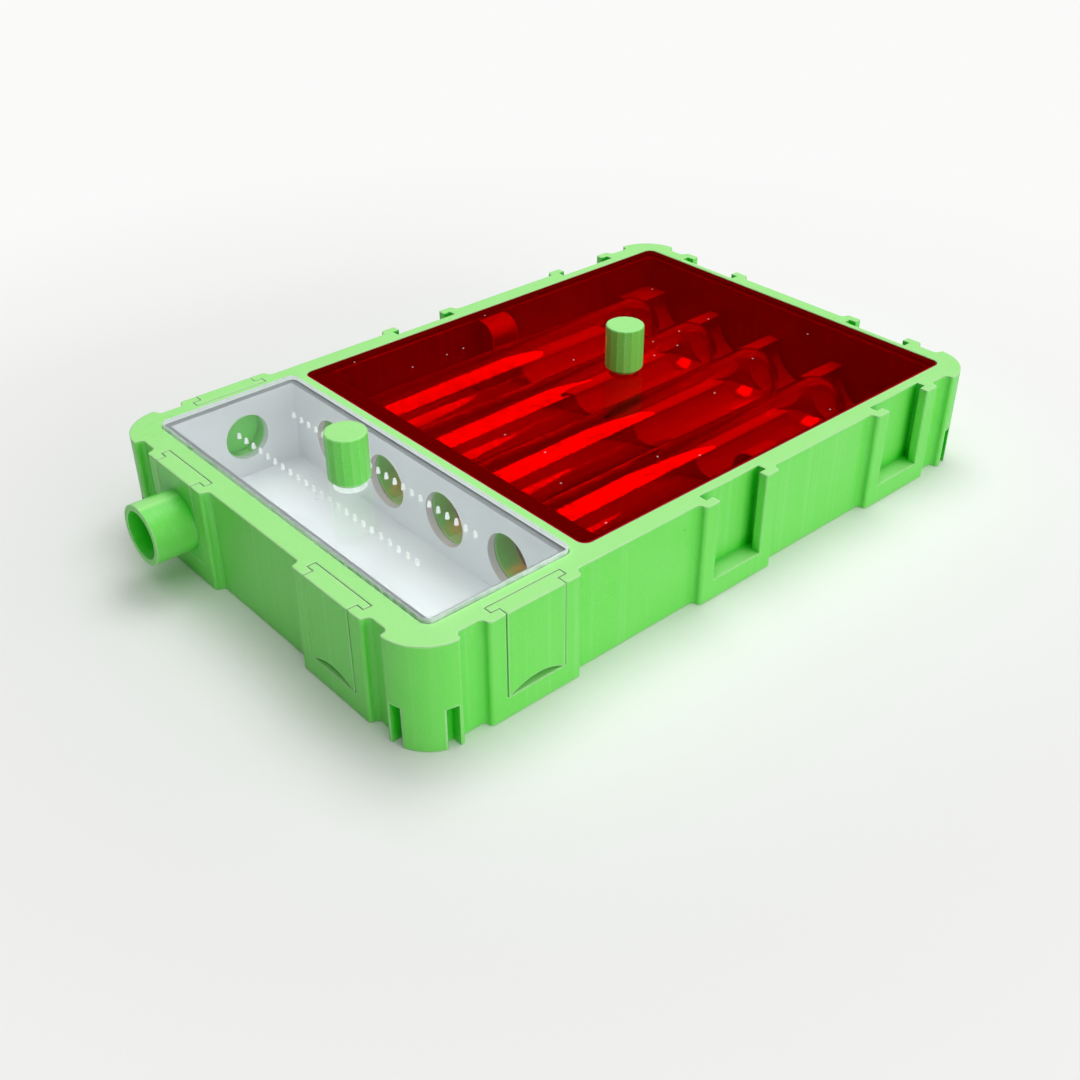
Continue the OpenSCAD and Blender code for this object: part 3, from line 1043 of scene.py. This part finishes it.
def add_soft_light(name, place, size, level):
    """A soft box that shines at the habitat and leaves no mirror image of itself."""
    data = bpy.data.lights.new(name, "AREA")
    data.shape = "RECTANGLE"
    data.size, data.size_y = size
    data.energy = level * math.pi * size[0] * size[1]
    tree = Tree(data)
    glow = tree.wire("ShaderNodeEmission", None, {"Strength": 1.0})
    shown = tree.wire("ShaderNodeMixShader", None, {0: mirrored_path(tree), 1: glow})
    tree.finish(shown, "ShaderNodeOutputLight")
    light = bpy.data.objects.new(name, data)
    aim = place.to_track_quat("Z", "Y").to_matrix().to_4x4()
    light.matrix_world = Matrix.Translation(place) @ aim
    light.visible_camera = False
    bpy.context.scene.collection.objects.link(light)


def flat_object(name, segments, reach):
    """A flat square that reaches this far each way, linked to the scene."""
    mesh = bpy.data.meshes.new(name)
    maker = bmesh.new()
    bmesh.ops.create_grid(maker, x_segments=segments, y_segments=segments, size=reach)
    maker.to_mesh(mesh)
    maker.free()
    flat = bpy.data.objects.new(name, mesh)
    bpy.context.scene.collection.objects.link(flat)
    return flat


class HABITAT_OT_studio(bpy.types.Operator):
    """Make the floor, the lights, the world and the camera"""

    bl_idname = "habitat.studio"
    bl_label = "Studio"

    def execute(self, context):
        self.make_floor(colours_of(context).floor)
        self.make_world()
        self.make_card()
        add_soft_light("key_light", KEY_PLACE, KEY_SIZE, KEY_LEVEL)
        add_soft_light("side_light", SIDE_PLACE, SIDE_SIZE, SIDE_LEVEL)
        self.make_camera(context)
        return {"FINISHED"}

    @staticmethod
    def make_floor(colour):
        """A wide plain floor that fades into the pale surroundings round the habitat."""
        floor = flat_object("floor", 8, FLOOR_REACH)
        floor.location.z = -FLOOR_DROP
        material, tree = new_material("floor")
        plain = {"Base Color": colour, "Roughness": FLOOR_ROUGHNESS}
        skin = tree.wire("ShaderNodeBsdfPrincipled", None, plain)
        pale = tree.wire("ShaderNodeEmission", None, {"Color": PALE, "Strength": 1.0})
        away = tree.vectors("LENGTH", tree.place(), output="Value")
        tree.finish(tree.mix_surface(looked_at(tree) * away.between(*FLOOR_FADE), skin, pale))
        floor.data.materials.append(material)

    @staticmethod
    def make_card():
        """A bright card above the nest, seen only in what shines below a cover."""
        card = flat_object("card", 1, 0.5)
        stretch = Matrix.Diagonal((*CARD_SIZE, 1.0, 1.0))
        turn = Matrix.Rotation(CARD_TURN, 4, "Z")
        card.matrix_world = Matrix.Translation(CARD_PLACE) @ turn @ stretch
        card.visible_camera = card.visible_diffuse = card.visible_shadow = False
        material, tree = new_material("card")
        clear = tree.wire("ShaderNodeBsdfTransparent")
        glow = tree.wire("ShaderNodeEmission", None, {"Strength": CARD_LEVEL})
        tree.finish(tree.mix_surface(mirrored_path(tree, COVER_FACES), clear, glow))
        material.cycles.emission_sampling = "NONE"
        card.data.materials.append(material)

    @staticmethod
    def make_world():
        """Pale surroundings to look at, and a dimmer light for the habitat, which is strongest
        from above, from the right and from the back."""
        world = bpy.data.worlds.new("studio")
        bpy.context.scene.world = world
        tree = Tree(world)
        direction = tree.wire("ShaderNodeTexCoord", output="Generated")
        split = tree.node("ShaderNodeSeparateXYZ", None, {0: direction})
        right, back, height = [Wire(tree, socket) for socket in split.outputs]
        mirrored = tree.wire("ShaderNodeLightPath", output="Is Glossy Ray")
        dome = DOME_LEVEL + right * DOME_SLOPE + back * DOME_SLOPE
        top = height.between(*TOP_FADE) * TOP_LEVEL
        horizon = HORIZON_LEVEL - height.between(*HORIZON_FADE) * HORIZON_DROP
        pale = looked_at(tree, mirrored=False) * (LOOKED_AT_LEVEL - dome)
        light = dome + pale + mirrored * (horizon - dome) + top
        sky = tree.wire("ShaderNodeBackground", None, {"Color": WHITE, "Strength": light})
        tree.finish(sky, "ShaderNodeOutputWorld")

    @staticmethod
    def make_camera(context):
        """The camera of the photograph, with plain colours."""
        data = bpy.data.cameras.new("camera")
        data.lens = sizes_of(context).lens
        data.sensor_width = SENSOR_WIDTH
        data.clip_start = CLIP_START
        camera = bpy.data.objects.new("camera", data)
        tilt = Matrix.Rotation(math.pi / 2 - CAMERA_ELEVATION, 4, "X")
        roll = Matrix.Rotation(CAMERA_ROLL, 4, "Z")
        turn = Matrix.Rotation(CAMERA_AZIMUTH, 4, "Z") @ tilt @ roll
        camera.matrix_world = Matrix.Translation(CAMERA_PLACE) @ turn
        context.scene.collection.objects.link(camera)
        context.scene.camera = camera
        context.scene.view_settings.view_transform = "Standard"


class HABITAT_PT_panel(bpy.types.Panel):
    """Lists the pieces of the habitat, their colours and their sizes"""

    bl_label = "Ant habitat"
    bl_idname = "HABITAT_PT_panel"
    bl_space_type = "VIEW_3D"
    bl_region_type = "UI"
    bl_category = "Habitat"

    def draw(self, context):
        column = self.layout.column()
        for operator in OPERATORS:
            column.operator(operator.bl_idname)
        for group in (colours_of(context), sizes_of(context)):
            for name in group.bl_rna.properties.keys():
                if name not in ("rna_type", "name"):
                    column.prop(group, name)


OPERATORS = (
    HABITAT_OT_printed_pieces,
    HABITAT_OT_plugs,
    HABITAT_OT_foraging_tray,
    HABITAT_OT_covers,
    HABITAT_OT_test_tubes,
    HABITAT_OT_studio,
)
CLASSES = (HabitatColours, HabitatSizes, *OPERATORS, HABITAT_PT_panel)


def register():
    for cls in CLASSES:
        bpy.utils.register_class(cls)
    bpy.types.Scene.habitat_colours = bpy.props.PointerProperty(type=HabitatColours)
    bpy.types.Scene.habitat_sizes = bpy.props.PointerProperty(type=HabitatSizes)


def unregister():
    del bpy.types.Scene.habitat_sizes
    del bpy.types.Scene.habitat_colours
    for cls in reversed(CLASSES):
        bpy.utils.unregister_class(cls)


def main():
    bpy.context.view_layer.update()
    register()
    bpy.ops.habitat.printed_pieces()
    bpy.ops.habitat.plugs()
    bpy.ops.habitat.foraging_tray()
    bpy.ops.habitat.covers()
    bpy.ops.habitat.test_tubes()
    bpy.ops.habitat.studio()


if __name__ == "__main__":
    main()
